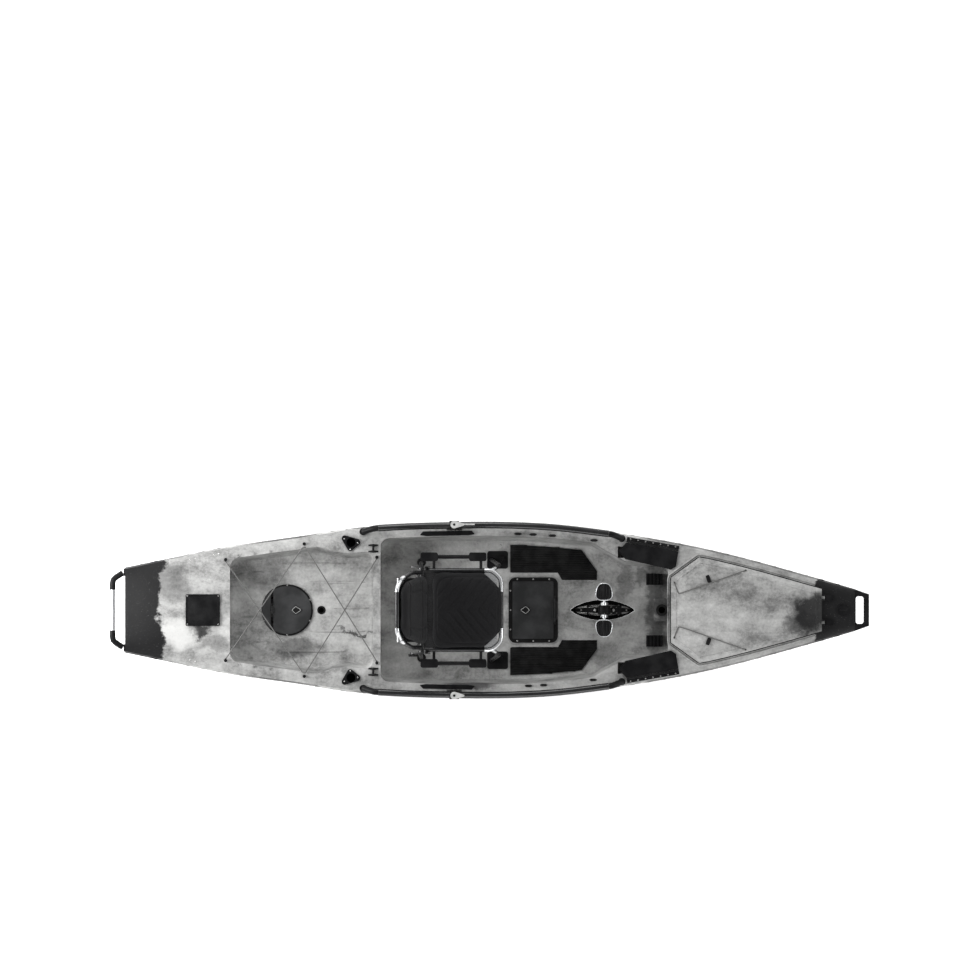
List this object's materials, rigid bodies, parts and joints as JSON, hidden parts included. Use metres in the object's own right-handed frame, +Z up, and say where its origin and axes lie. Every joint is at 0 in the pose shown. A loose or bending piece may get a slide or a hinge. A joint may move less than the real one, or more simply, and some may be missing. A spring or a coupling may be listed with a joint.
{
  "type": "pedal kayak",
  "caption": "Sit-on-top pedal fishing kayak with a fin drive, framed folding seat, side rails, rudder, centreboard and hinged hatches.",
  "frame": {"origin": "on the keel amidships, at the middle of the flat strip that a cradle carries", "axes": "+X to the bow, +Y to port, +Z up"},
  "size_m": [4.161, 0.9796, 1.2238],
  "materials": {
    "hull_plastic": "speckled grey with black ends",
    "lid_plastic": "light speckled grey",
    "aluminium_tube": "satin",
    "stainless": "brushed",
    "black_plastic": "moulded, fine texture",
    "hatch_plastic": "moulded, fine texture",
    "rail_paint": "satin black",
    "seat_frame_paint": "satin black",
    "seat_fabric": "woven black",
    "mat_foam": "ribbed black foam",
    "fin_rubber": "smooth black",
    "bungee_cord": "braided",
    "grey_plastic": "satin grey",
    "hull_fitting": "plain"
  },
  "bodies": {
    "hull": {"hull_shell": "hull_plastic", "stern_handle_arms": "black_plastic", "stern_grip": "aluminium_tube", "bow_handle": "black_plastic", "rudder_cover": "black_plastic", "rudder_tube": "hull_fitting", "board_pin": "stainless", "round_hatch_ring": "black_plastic", "bay_hatch_frame": "black_plastic", "bow_hatch_hinge": "black_plastic", "rod_cover_hinge": "black_plastic", "foot_blocks": "black_plastic", "mast_receiver": "black_plastic", "rod_holder_port": "black_plastic", "rod_holder_starboard": "black_plastic", "side_rail_port": "rail_paint", "side_rail_starboard": "rail_paint", "rail_brackets": "black_plastic", "steering_post_port": "black_plastic", "steering_post_starboard": "black_plastic", "gunwale_pads": "black_plastic", "cleats": "black_plastic", "deck_screws": "stainless", "cargo_hooks": "black_plastic", "cargo_cords": "bungee_cord", "scupper_sleeve": "hull_fitting", "floor_mat_port": "mat_foam", "floor_mat_starboard": "mat_foam", "seat_frame": "seat_frame_paint", "seat_cushion": "seat_fabric", "armrests": "black_plastic", "seat_feet": "black_plastic", "drive_housing": "black_plastic"},
    "seat_back": {"back_frame": "seat_frame_paint", "back_pad": "seat_fabric"},
    "recline_wheel": {"recline_wheel": "black_plastic"},
    "seat_knob_port": {"seat_knob_port": "black_plastic"},
    "seat_knob_starboard": {"seat_knob_starboard": "black_plastic"},
    "bow_plug": {"bow_plug": "black_plastic"},
    "rudder": {"rudder_shaft": "black_plastic"},
    "rudder_blade": {"rudder_blade": "fin_rubber"},
    "centreboard": {"centreboard": "fin_rubber"},
    "round_hatch": {"round_hatch_lid": "hatch_plastic"},
    "round_latch": {"round_hatch_latch": "grey_plastic"},
    "bay_hatch": {"bay_hatch_lid": "hatch_plastic"},
    "bay_latch": {"bay_hatch_latch": "grey_plastic"},
    "bow_hatch": {"bow_hatch_lid": "lid_plastic", "bow_hatch_cords": "bungee_cord"},
    "rod_cover_port": {"rod_cover_port": "black_plastic"},
    "rod_cover_starboard": {"rod_cover_starboard": "black_plastic"},
    "steering_handle_port": {"steering_handle_port": "grey_plastic"},
    "steering_handle_starboard": {"steering_handle_starboard": "grey_plastic"},
    "crank_port": {"crank_port": "aluminium_tube"},
    "crank_starboard": {"crank_starboard": "aluminium_tube"},
    "pedal_port": {"pedal_port": "black_plastic"},
    "pedal_starboard": {"pedal_starboard": "black_plastic"},
    "fin_front": {"fin_mast_front": "stainless", "fin_front": "fin_rubber"},
    "fin_rear": {"fin_mast_rear": "stainless", "fin_rear": "fin_rubber"}
  },
  "joints": [
    {"name": "bow_plug_turn", "type": "hinge", "parent": "hull", "child": "bow_plug", "pos_m": [1.936, 0, 0.3742], "axis": [0, 0, 1], "range_deg": [-180, 180]},
    {"name": "rudder_steer", "type": "hinge", "parent": "hull", "child": "rudder", "pos_m": [-1.53, 0, 0.1317], "axis": [0, 0, 1], "range_deg": [-45, 45]},
    {"name": "rudder_kick", "type": "hinge", "parent": "rudder", "child": "rudder_blade", "pos_m": [-1.53, 0, 0.0817], "axis": [0, 1, 0], "range_deg": [0, 44]},
    {"name": "centreboard_swing", "type": "hinge", "parent": "hull", "child": "centreboard", "pos_m": [-1.01, 0, 0.104], "axis": [0, 1, 0], "range_deg": [-35, 18]},
    {"name": "round_hatch_open", "type": "hinge", "parent": "hull", "child": "round_hatch", "pos_m": [-1.19388, 0, 0.2395], "axis": [0, -1, 0], "range_deg": [0, 105], "deforming": ["cargo_cords"]},
    {"name": "round_latch_turn", "type": "hinge", "parent": "round_hatch", "child": "round_latch", "pos_m": [-1.065, 0, 0.245], "axis": [0, 0, 1], "range_deg": [0, 90]},
    {"name": "bay_hatch_open", "type": "hinge", "parent": "hull", "child": "bay_hatch", "pos_m": [0.355, 0, 0.1395], "axis": [0, 1, 0], "range_deg": [0, 110]},
    {"name": "bay_latch_turn", "type": "hinge", "parent": "bay_hatch", "child": "bay_latch", "pos_m": [0.197, 0, 0.145], "axis": [0, 0, 1], "range_deg": [0, 90]},
    {"name": "bow_hatch_open", "type": "hinge", "parent": "hull", "child": "bow_hatch", "pos_m": [1.827, 0, 0.38605], "axis": [0, 1, 0], "range_deg": [0, 95]},
    {"name": "rod_cover_port_open", "type": "hinge", "parent": "hull", "child": "rod_cover_port", "pos_m": [0.748, 0.37715, 0.35893], "axis": [-0.9855, 0.1694, -0.009], "range_deg": [0, 100]},
    {"name": "rod_cover_starboard_open", "type": "hinge", "parent": "hull", "child": "rod_cover_starboard", "pos_m": [0.748, -0.37715, 0.35893], "axis": [0.9855, 0.1694, 0.009], "range_deg": [0, 100]},
    {"name": "steering_port_turn", "type": "hinge", "parent": "hull", "child": "steering_handle_port", "pos_m": [-0.196, 0.46875, 0.46687], "axis": [0, 0, 1], "range_deg": [-45, 45]},
    {"name": "steering_starboard_turn", "type": "hinge", "parent": "hull", "child": "steering_handle_starboard", "pos_m": [-0.196, -0.46875, 0.46687], "axis": [0, 0, 1], "range_deg": [-45, 45]},
    {"name": "seat_back_fold", "type": "hinge", "parent": "hull", "child": "seat_back", "pos_m": [-0.372, 0, 0.555], "axis": [0, 1, 0], "range_deg": [-12, 65]},
    {"name": "recline_wheel_turn", "type": "hinge", "parent": "hull", "child": "recline_wheel", "pos_m": [-0.42, -0.24, 0.543], "axis": [0, 1, 0], "range_deg": [-180, 180]},
    {"name": "seat_knob_port_turn", "type": "hinge", "parent": "hull", "child": "seat_knob_port", "pos_m": [0.064, 0.275, 0.132], "axis": [0, 0, 1], "range_deg": [-180, 180]},
    {"name": "seat_knob_starboard_turn", "type": "hinge", "parent": "hull", "child": "seat_knob_starboard", "pos_m": [0.064, -0.275, 0.132], "axis": [0, 0, 1], "range_deg": [-180, 180]},
    {"name": "crank_port_swing", "type": "hinge", "parent": "hull", "child": "crank_port", "pos_m": [0.626, 0, 0.162], "axis": [0, 1, 0], "range_deg": [-30, 30]},
    {"name": "crank_starboard_swing", "type": "hinge", "parent": "hull", "child": "crank_starboard", "pos_m": [0.626, 0, 0.162], "axis": [0, 1, 0], "range_deg": [-30, 30]},
    {"name": "fin_front_sweep", "type": "hinge", "parent": "hull", "child": "fin_front", "pos_m": [0.732, 0, -0.014], "axis": [1, 0, 0], "range_deg": [-60, 60]},
    {"name": "fin_rear_sweep", "type": "hinge", "parent": "hull", "child": "fin_rear", "pos_m": [0.592, 0, -0.014], "axis": [1, 0, 0], "range_deg": [-60, 60]},
    {"name": "pedal_port_tilt", "type": "hinge", "parent": "crank_port", "child": "pedal_port", "pos_m": [0.626, 0.086, 0.492], "axis": [0, 1, 0], "range_deg": [-25, 25]},
    {"name": "pedal_starboard_tilt", "type": "hinge", "parent": "crank_starboard", "child": "pedal_starboard", "pos_m": [0.626, -0.086, 0.492], "axis": [0, 1, 0], "range_deg": [-25, 25]}
  ],
  "couplings": [
    {"joint": "crank_starboard_swing", "follows": "crank_port_swing", "ratio": -1},
    {"joint": "fin_front_sweep", "follows": "crank_port_swing", "ratio": 2},
    {"joint": "fin_rear_sweep", "follows": "crank_port_swing", "ratio": -2},
    {"joint": "steering_port_turn", "follows": "rudder_steer", "ratio": 1},
    {"joint": "steering_starboard_turn", "follows": "rudder_steer", "ratio": 1}
  ]
}
